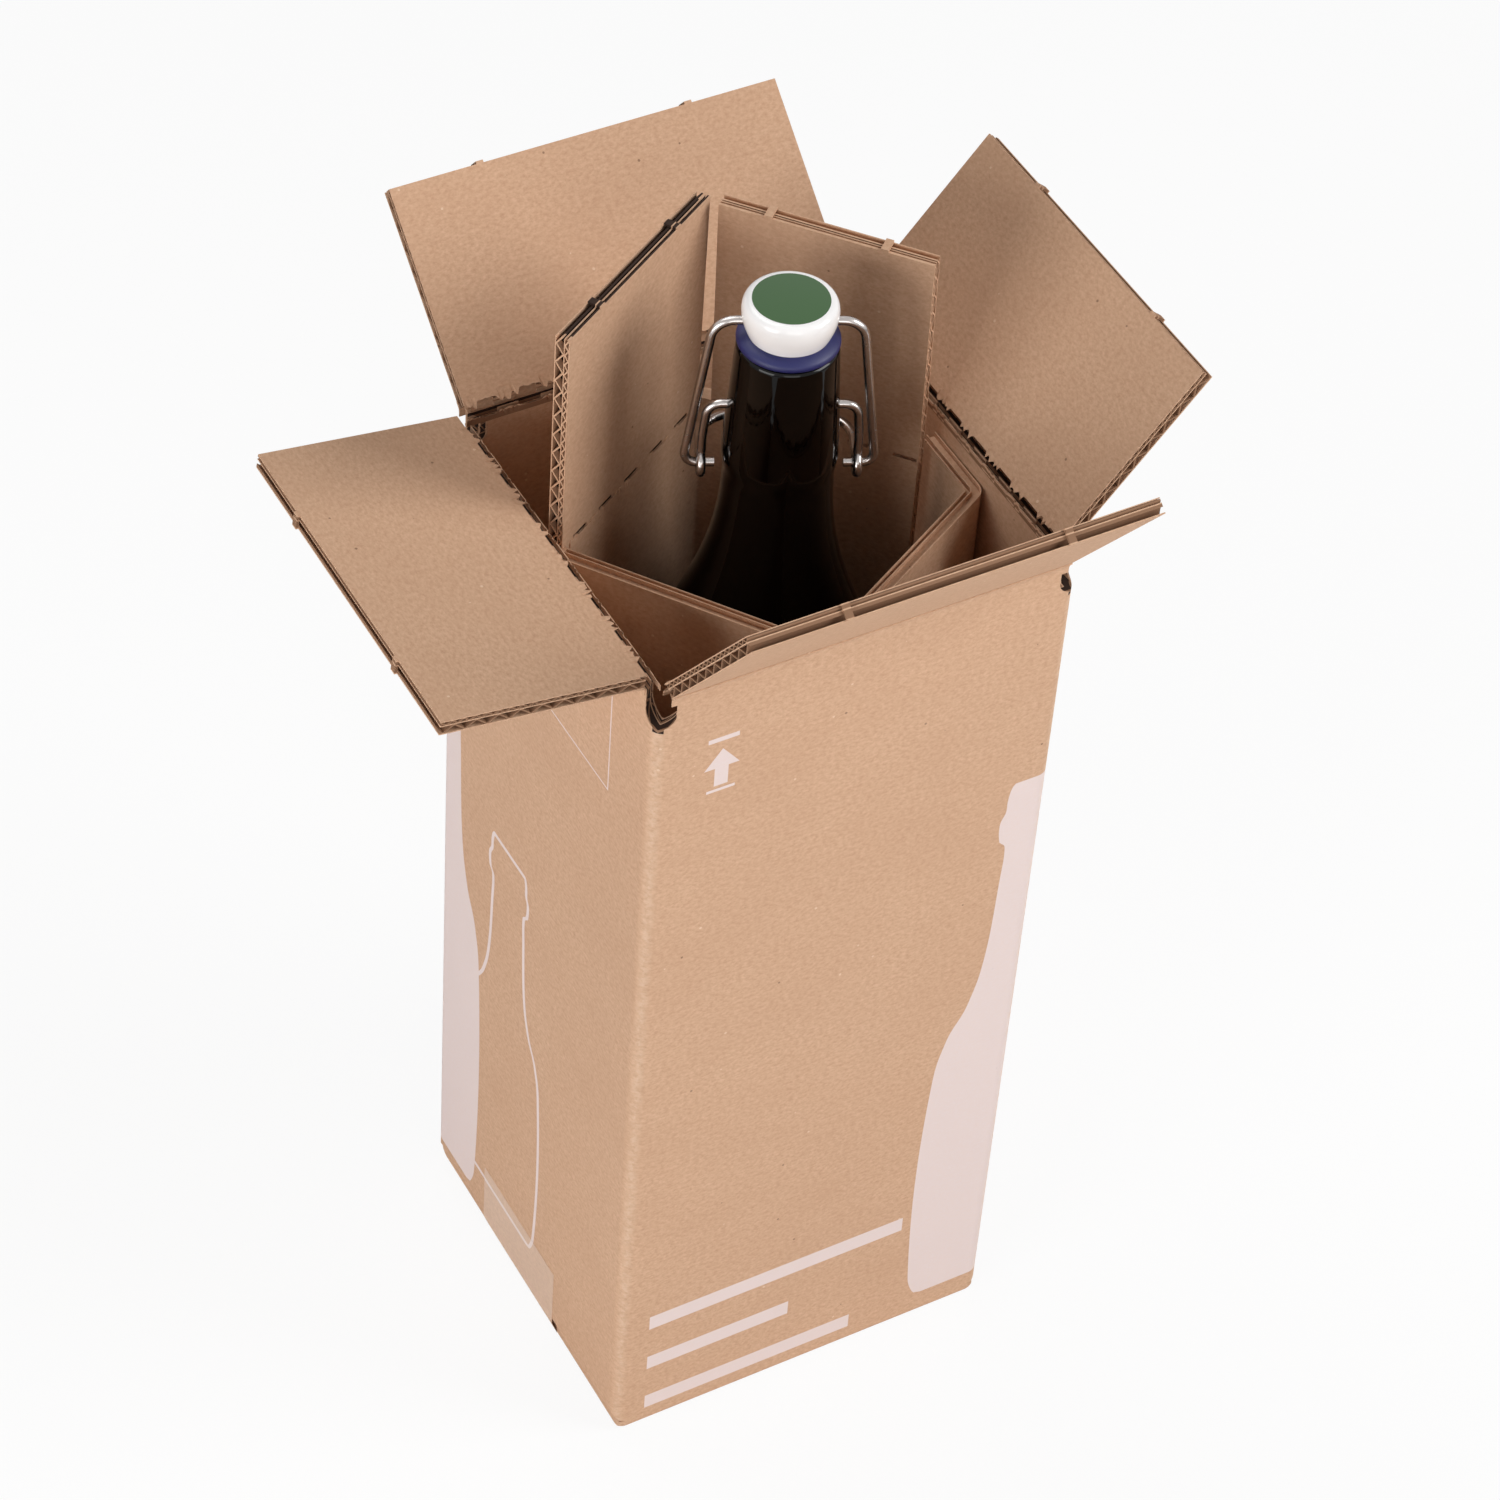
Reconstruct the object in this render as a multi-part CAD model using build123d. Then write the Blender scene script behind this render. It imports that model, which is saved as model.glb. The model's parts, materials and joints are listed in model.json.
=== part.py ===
from build123d import *
import os
from math import cos, radians, sin

# A shipping box for one bottle, standing open. All lengths are in millimetres.
# The carton stands on z = 0 with its centre on the Z axis. Its front faces -Y and its left side faces -X.
# Inside it stands a sleeve folded from one sheet, and in the sleeve a swing-top bottle on a spacer.

# Double-wall board, layer by layer from the printed outside to the inside
outer_liner = 0.35
coarse_flute = 2.4
middle_liner = 0.3
fine_flute = 1.15
inner_liner = 0.3
board = outer_liner + coarse_flute + middle_liner + fine_flute + inner_liner
coarse_pitch = 6.4
fine_pitch = 3.4
flute_paper = 0.32
fold_radius = 0.8
fold_outside = fold_radius + board
edge_groove = 1.6

# Carton: outside sizes, and the height of the crease that the top flaps fold on
carton_width = 130.0
carton_depth = 126.0
rim_height = 317.5
corner_radius = 4.5
glue_tab = 32.0
bottom_seam = 1.0
bottom_flap_inset = 2.0
corner_slot_width = 8.6
corner_slot_depth = 11.0

# Top flaps: long ones at front and back, short ones at the sides, and how far each leans out from upright
long_flap = 63.5
side_flap = 60.5
long_flap_inset = 4.2
side_flap_inset = 6.6
front_flap_angle = 37.0
back_flap_angle = 49.6
left_flap_angle = 82.0
right_flap_angle = 40.5
crease_gap = 0.3
hinge_offset = 0.2
cut_length = 7.0
cut_pitch = 13.5
cut_depth = 1.4
nick_width = 2.2
nick_height = 0.8
nick_share = 0.27

# Sealing tape over the bottom seam and up both sides
tape_width = 48.0
tape_thickness = 0.12
tape_offset = 4.0
tape_rise = 30.0

# Sleeve: where its folds stand in plan, its panels, and the two tall panels above its top crease
sleeve_clearance = 0.5
left_fold_y = 8.0
front_fold_x = -10.0
right_fold_y = -17.5
back_left_panel = 72.5
back_left_heading = 31.5
back_right_panel = 64.0
back_right_heading = -49.5
end_panel = 24.0
sleeve_crease = 310.0
tall_panel = 74.0
tall_panel_trim = 2.0
tall_panel_lean = 3.5
sleeve_edge_band = 70.0
pocket_depth = 6.0

# Spacer: a strip folded to a square ring, which lifts the bottle
spacer_side = 62.0
spacer_height = 57.0
strip_gap = 0.6

# Bottle: place in plan, its body measured up from its base, and its shoulder and neck down from its lip
bottle_x = 2.0
bottle_y = -5.0
body_radius = 36.0
body_height = 170.0
heel_radius = 6.0
shoulder_radius = 26.5
shoulder_drop = 85.2
neck_radius = 15.2
neck_drop = 35.2
lip_radius = 14.0
bottle_height = 307.2
lip_round = 1.6
glass_wall = 3.2
bore_radius = 8.8
bore_depth = 28.0
punt_radius = 24.0
punt_depth = 4.0

# Closure: porcelain stopper, rubber gasket and two bent wires
closure_turn = -25.0
stopper_radius = 12.9
stopper_foot = 10.2
stopper_top = 10.8
stopper_height = 10.6
bail_seat = 3.2
waist_rise = 1.0
plug_radius = 7.2
plug_tip = 5.0
plug_depth = 7.0
gasket_radius = 14.1
gasket_height = 3.4
gasket_bevel = 0.5
gasket_gap = 0.3
wire = 2.4
pivot_clearance = 0.05
eye_clearance = 0.25
dimple_depth = 2.2
pivot_drop = 22.2
eye_drop = 21.0
eye_reach = 21.3
bail_reach = 26.2
bail_shoulder = 19.9
hook_end = 17.6
arch_reach = 18.4
thumb_reach = 20.0
bend_radius = 4.2
hook_bend = 2.2

# Places that follow from the sizes above
floor_height = 2 * board
half_width = carton_width / 2
half_depth = carton_depth / 2
inside_x = half_width - board
inside_y = half_depth - board
bottle_base = floor_height + spacer_height
lip_height = bottle_base + bottle_height
shoulder_height = bottle_height - shoulder_drop
neck_height = bottle_height - neck_drop
gasket_base = lip_height + gasket_gap
stopper_base = gasket_base + gasket_height
bail_axis = stopper_base + bail_seat
lever_axis = lip_height - pivot_drop
eye_height = lever_axis - eye_drop
wire_radius = wire / 2
eye_radius = wire + eye_clearance

# Each wall: its outward direction, half the length of its crease, and its outside face's distance
walls = {
    "front": (Vector(0, -1, 0), half_width - long_flap_inset, half_depth),
    "back": (Vector(0, 1, 0), half_width - long_flap_inset, half_depth),
    "left": (Vector(-1, 0, 0), half_depth - side_flap_inset, half_width),
    "right": (Vector(1, 0, 0), half_depth - side_flap_inset, half_width),
}
flap_angles = {
    "front": front_flap_angle, "back": back_flap_angle, "left": left_flap_angle, "right": right_flap_angle,
}
flap_lengths = {"front": long_flap, "back": long_flap, "left": side_flap, "right": side_flap}
up = Vector(0, 0, 1)


def panel_frame(origin, outward, lean=0.0):
    """Frame of a panel: x along its root, y up the panel, z from its outside face to its inside face."""
    tilt = radians(lean)
    rise = up * cos(tilt) + outward * sin(tilt)
    inward = up * sin(tilt) - outward * cos(tilt)
    return Plane(origin=origin, x_dir=rise.cross(inward), z_dir=inward)


def block(low, high):
    """A box between two corners."""
    size = [b - a for a, b in zip(low, high)]
    return Pos(*low) * Box(*size, align=(Align.MIN, Align.MIN, Align.MIN))


def layer(start, height):
    """Lowest and highest level of one fluted layer in the board's thickness."""
    return start, start + height


coarse_layer = layer(outer_liner, coarse_flute)
fine_layer = layer(outer_liner + coarse_flute + middle_liner, fine_flute)


def flute_cells(bottom, top):
    """Cross-section of the open cells in both fluted layers, along a panel from bottom to top."""
    cells = []
    for (low, high), pitch in ((coarse_layer, coarse_pitch), (fine_layer, fine_pitch)):
        foot = pitch / 2 - flute_paper
        for i in range(int(2 * (top - bottom) / pitch) + 1):
            middle = bottom + (i + 0.5) * pitch / 2
            base, tip = (low, high - flute_paper) if i % 2 else (high, low + flute_paper)
            corners = [(middle - foot, base), (middle + foot, base), (middle, tip)]
            cells.append(make_face(Polyline(*corners, close=True).edges()))
    return cells


def fluted_panel(left, right, bottom, top):
    """A panel of double-wall board in its own frame, its flutes running from side edge to side edge."""
    section = make_face(Polyline((bottom, 0), (top, 0), (top, board), (bottom, board), close=True).edges())
    section = Plane.YZ * (section - flute_cells(bottom, top))
    return Pos(left, 0, 0) * extrude(section, amount=right - left, dir=(1, 0, 0))


def crease_cuts(left, right, low, high):
    """The slits of a perforated crease, spaced evenly between two ends and cut right through the board."""
    count = int((right - left - cut_length) / cut_pitch) + 1
    middle = (left + right) / 2
    starts = [middle + (i - (count - 1) / 2) * cut_pitch - cut_length / 2 for i in range(count)]
    return [block((x, low, -board), (x + cut_length, high, 2 * board)) for x in starts]


def edge_grooves(left, right, top):
    """The open ends of the two fluted layers along a cut edge that runs with the flutes."""
    return [block((left, top - edge_groove, low), (right, top, high)) for low, high in (coarse_layer, fine_layer)]


def edge_nicks(left, right, top):
    """Two small stubs left on a cut edge where the sheet was held in its waste."""
    middles = [(left + right) / 2 + side * nick_share * (right - left) for side in (-1, 1)]
    return [block((x - nick_width / 2, top, 0), (x + nick_width / 2, top + nick_height, board)) for x in middles]


def flap(side):
    """A top flap: a fluted panel whose root edge is notched by the perforated crease."""
    outward, half, distance = walls[side]
    top = flap_lengths[side]
    panel = fluted_panel(-half, half, crease_gap, top)
    panel = panel - crease_cuts(-half, half, 0, crease_gap + cut_depth)
    panel = panel + edge_nicks(-half, half, top)
    hinge = outward * (distance + hinge_offset) + up * rim_height
    return panel_frame(hinge, outward, flap_angles[side]).location * Pos(0, 0, hinge_offset) * panel


def bottom_fold_waste():
    """What the folded bottom leaves away at both side walls: the round fold and the inset of the long flaps."""
    deep = half_width
    with_fold = block((inside_x, -half_depth, board), (half_width, half_depth, floor_height))
    fold = Pos(inside_x, 0, floor_height) * Rot(90, 0, 0) * Cylinder(board, 2 * carton_depth)
    under = block((deep - bottom_flap_inset, -half_depth, 0), (deep, half_depth, board))
    one_side = (with_fold - fold) + under
    return [one_side, mirror(one_side, Plane.YZ)]


def glue_joint():
    """The glued corner at the back right: the right wall turns in behind the back wall as a glue tab."""
    square = block((inside_x, inside_y, floor_height), (half_width, half_depth, rim_height))
    tab = block((inside_x - glue_tab, inside_y - board, floor_height), (inside_x, inside_y, rim_height))
    turn = block((inside_x, inside_y - board, floor_height), (half_width, inside_y, rim_height))
    tall = rim_height - floor_height
    round_turn = Pos(inside_x, inside_y - board, floor_height) * Cylinder(
        board, tall, align=(Align.CENTER, Align.CENTER, Align.MIN)
    )
    return square + tab, turn - round_turn


def corner_slots():
    """The round-ended slots that part the flaps at the four corners of the rim."""
    width = corner_slot_width
    cutters = []
    for x in (-1, 1):
        for y in (-1, 1):
            across = Plane(origin=(x * half_width, y * half_depth, rim_height), z_dir=(x, y, 0), x_dir=(-y, x, 0))
            outline = Pos(0, width / 2 - corner_slot_depth) * Circle(width / 2)
            outline += Pos(0, width - corner_slot_depth / 2) * Rectangle(width, 2 * width)
            cutters.append(extrude(across * outline, amount=3 * board, both=True))
    return cutters


def make_carton():
    """The carton: four walls, glued corner, and the folded and taped bottom, from one sheet."""
    outside = extrude(RectangleRounded(carton_width, carton_depth, corner_radius), amount=rim_height - crease_gap)
    lengthwise = outside.edges().filter_by(Axis.X).group_by(Axis.Z)[0]
    outside = fillet(lengthwise, corner_radius - fold_radius)
    hollow = extrude(RectangleRounded(2 * inside_x, 2 * inside_y, fold_radius), amount=rim_height)
    shell = outside - Pos(0, 0, floor_height) * hollow
    added, removed = glue_joint()
    shell = shell + (added - block((0, 0, rim_height - crease_gap), (half_width, half_depth, rim_height)))
    shell = shell - removed - bottom_fold_waste() - corner_slots()
    flap_reach = min(half_width, half_depth)
    seam = half_depth - flap_reach + bottom_seam / 2
    shell -= block((-half_width, -seam, -board), (half_width, seam, board))
    inner_gap = half_width - flap_reach + bottom_seam
    shell -= block((-inner_gap, -inside_y, board), (inner_gap, inside_y, floor_height))
    shell -= tape_bed()
    for outward, half, distance in walls.values():
        frame = panel_frame(outward * distance, outward).location
        top = rim_height - crease_gap
        cuts = crease_cuts(-half, half, top - cut_depth, top) + edge_grooves(-half, half, top)
        shell = shell - [frame * cut for cut in cuts]
    return shell


def tape_outline(thickness):
    """The tape seen from the front: under the bottom, round both bottom edges and up both sides."""
    flap_end = half_width - bottom_flap_inset
    side = half_width + thickness
    turn = floor_height * 2 / 3
    right = [(flap_end, 0), (side, turn), (side, tape_rise), (half_width, tape_rise)]
    right += [(half_width, turn), (flap_end, thickness)]
    left = [(-x, z) for x, z in reversed(right)]
    return make_face(Polyline(*right, *left, close=True).edges())


def tape_bed():
    """The shallow bed that the tape presses into the underside, so that the box stands level."""
    half = tape_width / 2
    flap_end = half_width - bottom_flap_inset
    return block((-flap_end, tape_offset - half, 0), (flap_end, tape_offset + half, tape_thickness))


def make_tape():
    """The sealing tape, one strip."""
    strip = extrude(Plane.XZ * tape_outline(tape_thickness), amount=tape_width / 2, both=True)
    return Pos(0, tape_offset, 0) * strip


def beside(centres, distance):
    """Edges that run to the right of a chain of fold centres, straight along panels and round at folds."""
    headings = [(b - a).normalized() for a, b in zip(centres, centres[1:])]
    sides = [Vector(h.Y, -h.X, 0) * distance for h in headings]
    edges = []
    for i, side in enumerate(sides):
        start, end = centres[i] + side, centres[i + 1] + side
        edges.append(Line(start, end))
        if i + 1 < len(sides):
            middle = centres[i + 1] + (side + sides[i + 1]).normalized() * distance
            edges.append(ThreePointArc(end, middle, centres[i + 1] + sides[i + 1]))
    return edges


def folded_sheet(centres, near, far):
    """Plan of a sheet folded round its fold centres, between two distances from them."""
    inner, outer = beside(centres, near), beside(centres, far)
    ends = [Line(inner[0] @ 0, outer[0] @ 0), Line(inner[-1] @ 1, outer[-1] @ 1)]
    return make_face(inner + outer + ends)


def heading(angle):
    """Unit vector in plan."""
    return Vector(cos(radians(angle)), sin(radians(angle)), 0)


def sleeve_folds():
    """Fold centres of the sleeve, from the free end of its back right panel round to its end panel."""
    reach = sleeve_clearance + fold_outside
    left = Vector(reach - inside_x, left_fold_y, 0)
    front = Vector(front_fold_x, reach - inside_y, 0)
    right = Vector(inside_x - reach, right_fold_y, 0)
    back = left + heading(back_left_heading) * back_left_panel
    free_end = back + heading(back_right_heading) * back_right_panel
    last = right + Vector(0, end_panel, 0)
    return [free_end, back, left, front, right, last]


def sleeve_panel_frame(start, end, lean=0.0):
    """Frame of one sleeve panel at the top crease, its root running back from end to start."""
    along = (end - start).normalized()
    outward = Vector(along.Y, -along.X, 0)
    origin = end + outward * fold_outside + up * sleeve_crease
    return panel_frame(origin, outward, lean).location, (end - start).length


def make_sleeve():
    """The sleeve: five panels of one folded sheet, two of them going on upwards above the top crease."""
    folds = sleeve_folds()
    tall = sleeve_crease - floor_height
    plan = folded_sheet(folds, fold_radius, fold_outside)
    sheet = Pos(0, 0, floor_height) * extrude(plan, amount=tall)
    free_end, back, left, front, right, last = folds
    for low, high in (coarse_layer, fine_layer):
        groove = folded_sheet([left, front, right, last], fold_outside - high, fold_outside - low)
        sheet -= Pos(0, 0, sleeve_crease - edge_groove) * extrude(groove, amount=edge_groove)
    for start, end, lean in ((free_end, back, -tall_panel_lean), (back, left, 0.0)):
        frame, width = sleeve_panel_frame(start, end, lean)
        begin = -tall_panel_trim if end is left else tall_panel_trim
        finish = width if end is back else width - tall_panel_trim
        panel = fluted_panel(begin, finish, -flute_paper, tall_panel)
        panel += edge_nicks(begin, finish, tall_panel)
        sheet += frame * panel
        level, _ = sleeve_panel_frame(start, end)
        sheet -= [level * cut for cut in crease_cuts(begin, finish, -cut_depth / 2, cut_depth / 2)]
    frame, width = sleeve_panel_frame(free_end, back)
    pockets = Plane.YZ * Sketch(children=flute_cells(-sleeve_edge_band, -cut_depth))
    sheet -= frame * Pos(width - pocket_depth, 0, 0) * extrude(pockets, amount=pocket_depth, dir=(1, 0, 0))
    return sheet


def make_spacer():
    """The spacer: a strip of board folded to a square ring that stands under the bottle."""
    half = spacer_side / 2 - fold_outside
    corners = [Vector(-half, half, 0), Vector(-half, -half, 0), Vector(half, -half, 0), Vector(half, half, 0)]
    start, finish = Vector(-strip_gap / 2, half, 0), Vector(strip_gap / 2, half, 0)
    plan = folded_sheet([start, *corners, finish], fold_radius, fold_outside)
    ring = extrude(Rot(0, 0, back_left_heading) * plan, amount=spacer_height)
    return Pos(bottle_x, bottle_y, floor_height) * ring


def bottle_profile():
    """Half section of the glass: outside from the heel to the lip, then the bore and the inside."""
    lift = glass_wall
    inner_shoulder = shoulder_radius - glass_wall
    bore_foot = bottle_height - bore_depth
    outside = [
        Line((body_radius, heel_radius), (body_radius, body_height)),
        Spline(
            (body_radius, body_height), (shoulder_radius, shoulder_height), (neck_radius, neck_height),
            tangents=((0, 1), (lip_radius - neck_radius, bottle_height - neck_height)),
        ),
        Line((neck_radius, neck_height), (lip_radius, bottle_height - lip_round)),
        RadiusArc((lip_radius, bottle_height - lip_round), (lip_radius - lip_round, bottle_height), -lip_round),
        Line((lip_radius - lip_round, bottle_height), (bore_radius, bottle_height)),
    ]
    inside = [
        Line((bore_radius, bottle_height), (bore_radius, bore_foot)),
        Spline(
            (bore_radius, bore_foot), (inner_shoulder, shoulder_height - lift), (body_radius - lift, body_height),
            tangents=((0, -1), (0, -1)),
        ),
        Line((body_radius - lift, body_height), (body_radius - lift, heel_radius + lift)),
        RadiusArc((body_radius - lift, heel_radius + lift), (punt_radius, punt_depth + lift), heel_radius * 3),
        Line((punt_radius, punt_depth + lift), (0, punt_depth + 2 * lift)),
        Line((0, punt_depth + 2 * lift), (0, punt_depth)),
        Line((0, punt_depth), (punt_radius, 0)),
        Line((punt_radius, 0), (body_radius - heel_radius, 0)),
        RadiusArc((body_radius - heel_radius, 0), (body_radius, heel_radius), -heel_radius),
    ]
    return Plane.XZ * make_face(outside + inside)


def closure_place(height=0.0):
    """Place of the closure: its X axis runs along the wires' pivots and its -Y axis points to the front."""
    return Pos(bottle_x, bottle_y, height) * Rot(0, 0, closure_turn)


def make_bottle():
    """The bottle: turned glass with a bore, and two dimples in the neck for the lever's ends."""
    glass = Pos(bottle_x, bottle_y, bottle_base) * revolve(bottle_profile(), Axis.Z)
    dimple_floor = lip_radius - dimple_depth + wire_radius / 2
    for side in (-1, 1):
        dimple = Rot(0, 90 * side, 0) * Cylinder(
            wire_radius + pivot_clearance, neck_radius, align=(Align.CENTER, Align.CENTER, Align.MIN)
        )
        glass -= closure_place(lever_axis) * Pos(side * dimple_floor, 0, 0) * dimple
    return glass


def make_stopper():
    """The porcelain stopper: a rounded head with a bore for the bail, and a plug that tapers into the mouth."""
    waist = bail_seat + waist_rise
    head = [
        Line((0, -gasket_height - plug_depth), (plug_tip, -gasket_height - plug_depth)),
        Line((plug_tip, -gasket_height - plug_depth), (plug_radius, -gasket_height)),
        Line((plug_radius, -gasket_height), (plug_radius, 0)),
        Line((plug_radius, 0), (stopper_foot, 0)),
        Spline(
            (stopper_foot, 0), (stopper_radius, waist), (stopper_top, stopper_height),
            tangents=((0.8, 0.6), (-1, 0.15)),
        ),
        Line((stopper_top, stopper_height), (0, stopper_height)),
        Line((0, stopper_height), (0, -gasket_height - plug_depth)),
    ]
    turned = revolve(Plane.XZ * make_face(head), Axis.Z)
    bore = Pos(0, 0, bail_seat) * Rot(0, 90, 0) * Cylinder(wire_radius + pivot_clearance, 4 * stopper_radius)
    return closure_place(stopper_base) * (turned - bore)


def make_gasket():
    """The rubber gasket: a ring round the plug that slopes down to the lip."""
    rim = gasket_radius - gasket_bevel
    outline = Polyline(
        (plug_radius, 0), (rim, 0), (gasket_radius, gasket_height * 0.25), (rim, gasket_height * 0.6),
        (stopper_foot, gasket_height), (plug_radius, gasket_height), close=True,
    )
    return closure_place(gasket_base) * revolve(Plane.XZ * make_face(outline.edges()), Axis.Z)


def bent_wire(points, radii):
    """Round wire along straight runs joined by tangent bends."""
    path = FilletPolyline(*points, radius=radii)
    section = Plane(origin=path @ 0, z_dir=path % 0) * Circle(wire_radius)
    return sweep(section, path=path)


def make_bail():
    """The bail: one wire through the stopper, down both sides, with its ends hooked through the eyes."""
    top, foot = bail_axis, eye_height
    right = [(bail_shoulder, 0, top), (bail_reach, 0, foot), (hook_end, 0, foot)]
    left = [(-x, y, z) for x, y, z in reversed(right)]
    radii = [hook_bend, bend_radius, bend_radius, hook_bend]
    return closure_place() * bent_wire(left + right, radii)


def make_lever():
    """The lever: from the neck's dimples over two arches to the eyes, and round the back as a thumb loop."""
    pivot = lip_radius - dimple_depth + wire_radius / 2 + pivot_clearance
    bow = thumb_reach * 0.7
    weld = eye_radius - wire_radius / 2
    loop = [(eye_reach, weld, eye_height), (eye_reach, bow, eye_height), (eye_reach - bow / 2, thumb_reach, eye_height)]
    loop += [(-x, y, z) for x, y, z in reversed(loop)]
    lever = bent_wire(loop, [bend_radius] * 4)
    for side in (-1, 1):
        knee = lever_axis - eye_drop / 3
        arch = [
            (side * pivot, 0, lever_axis), (side * arch_reach, 0, lever_axis),
            (side * eye_reach, 0, knee), (side * eye_reach, 0, eye_height + weld),
        ]
        lever += Pos(side * eye_reach, 0, eye_height) * Rot(0, 90, 0) * Torus(eye_radius, wire_radius)
        lever += bent_wire(arch, [bend_radius / 2, bend_radius])
    return closure_place() * lever


nodes = {
    "carton": make_carton(),
    "front_flap": flap("front"),
    "back_flap": flap("back"),
    "left_flap": flap("left"),
    "right_flap": flap("right"),
    "sealing_tape": make_tape(),
    "bottle_sleeve": make_sleeve(),
    "height_spacer": make_spacer(),
    "bottle": make_bottle(),
    "stopper": make_stopper(),
    "stopper_gasket": make_gasket(),
    "bail_wire": make_bail(),
    "lever_wire": make_lever(),
}

os.makedirs("parts", exist_ok=True)
for name, shape in nodes.items():
    export_step(shape, "parts/" + name + ".step")
    print(name, len(shape.solids()), "solid", round(shape.volume), "mm3")
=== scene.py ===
import json
import math
import random

import bmesh
import bpy
from mathutils import Matrix, Vector
from mathutils.geometry import interpolate_bezier


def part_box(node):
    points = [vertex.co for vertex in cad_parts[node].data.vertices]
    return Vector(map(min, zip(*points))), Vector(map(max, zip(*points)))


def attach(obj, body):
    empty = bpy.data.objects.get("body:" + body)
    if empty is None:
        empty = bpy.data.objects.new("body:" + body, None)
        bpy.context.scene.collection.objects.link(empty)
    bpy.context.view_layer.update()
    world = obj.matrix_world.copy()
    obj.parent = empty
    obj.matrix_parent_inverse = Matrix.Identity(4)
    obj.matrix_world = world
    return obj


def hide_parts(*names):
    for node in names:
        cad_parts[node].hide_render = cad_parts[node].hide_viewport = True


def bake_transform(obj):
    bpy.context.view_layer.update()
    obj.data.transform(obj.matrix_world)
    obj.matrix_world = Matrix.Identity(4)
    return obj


# A shipping box for one bottle, standing open. The frame gives every piece its place, in metres.
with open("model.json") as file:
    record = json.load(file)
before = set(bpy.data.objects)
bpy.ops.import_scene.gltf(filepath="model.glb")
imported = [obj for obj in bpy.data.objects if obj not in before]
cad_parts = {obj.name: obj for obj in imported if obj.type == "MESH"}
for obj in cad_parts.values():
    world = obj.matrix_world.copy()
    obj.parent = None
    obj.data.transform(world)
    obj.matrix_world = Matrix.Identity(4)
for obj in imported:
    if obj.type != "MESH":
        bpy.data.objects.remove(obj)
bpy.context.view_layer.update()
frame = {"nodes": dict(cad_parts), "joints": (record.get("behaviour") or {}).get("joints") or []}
mm = 0.001


# Carton: four walls and a folded bottom from one sheet of double-wall corrugated board.
# Die-cut, creased, and glued down the back right corner. The outside liner is printed in one
# pale ink: bottle silhouettes round two corners, an outline bottle, an arrow and plain bars.
half_width = 65.0 * mm
half_depth = 63.0 * mm
board = 4.5 * mm
coarse_pitch = 6.4 * mm
fine_pitch = 3.4 * mm
coarse_layer = (0.4 * mm, 2.7 * mm)
fine_layer = (3.1 * mm, 4.15 * mm)
carton_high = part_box("carton")[1]
liner_light = "#DFBA9B"
liner_dark = "#BC9274"
liner_shade = "#C39A7C"
liner_rubbed = "#E3C6AC"
speck_dark = "#5E4028"
speck_light = "#EAD0B4"
flute_colour = "#8F6C53"
# Painted shade for the hollows between the flutes in open board edges
hollow_shade_colour = "#2B1B12"
ink_colour = "#E9DAD8"


def linear(hex_colour):
    """An sRGB hex colour as the linear values that a shader takes."""
    parts = [int(hex_colour[i:i + 2], 16) / 255 for i in (1, 3, 5)]
    return [c / 12.92 if c <= 0.04045 else ((c + 0.055) / 1.055) ** 2.4 for c in parts] + [1.0]


def add_node(material, kind, *inputs, **settings):
    """Adds a node. Settings are its properties or named sockets, and inputs fill its sockets in order."""
    node = material.node_tree.nodes.new("ShaderNode" + kind)
    for name in [name for name in settings if hasattr(node, name)]:
        setattr(node, name, settings.pop(name))
    filled = [(node.inputs[name.replace("_", " ")], value) for name, value in settings.items()]
    filled += zip([socket for socket in node.inputs if socket.enabled], inputs)
    for socket, value in filled:
        if isinstance(value, bpy.types.NodeSocket):
            material.node_tree.links.new(value, socket)
        else:
            socket.default_value = linear(value) if isinstance(value, str) else value
    return next(socket for socket in node.outputs if socket.enabled)


def new_material(name, **values):
    """A material with plain values for its shader by socket name, and Object coordinates."""
    material = bpy.data.materials.new(name)
    material.use_nodes = True
    shader = material.node_tree.nodes["Principled BSDF"]
    for socket, value in values.items():
        value = linear(value) if isinstance(value, str) else value
        shader.inputs[socket.replace("_", " ")].default_value = value
    place = add_node(material, "TexCoord").node.outputs["Object"]
    return material, place


def join(material, **links):
    """Links sources to the shader's sockets by name."""
    shader = material.node_tree.nodes["Principled BSDF"]
    for socket, source in links.items():
        material.node_tree.links.new(source, shader.inputs[socket.replace("_", " ")])


def band(material, value, low, high):
    """1 where a value lies between two limits."""
    return add_node(material, "Math", value, (low + high) / 2, (high - low) / 2, operation="COMPARE")


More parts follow.
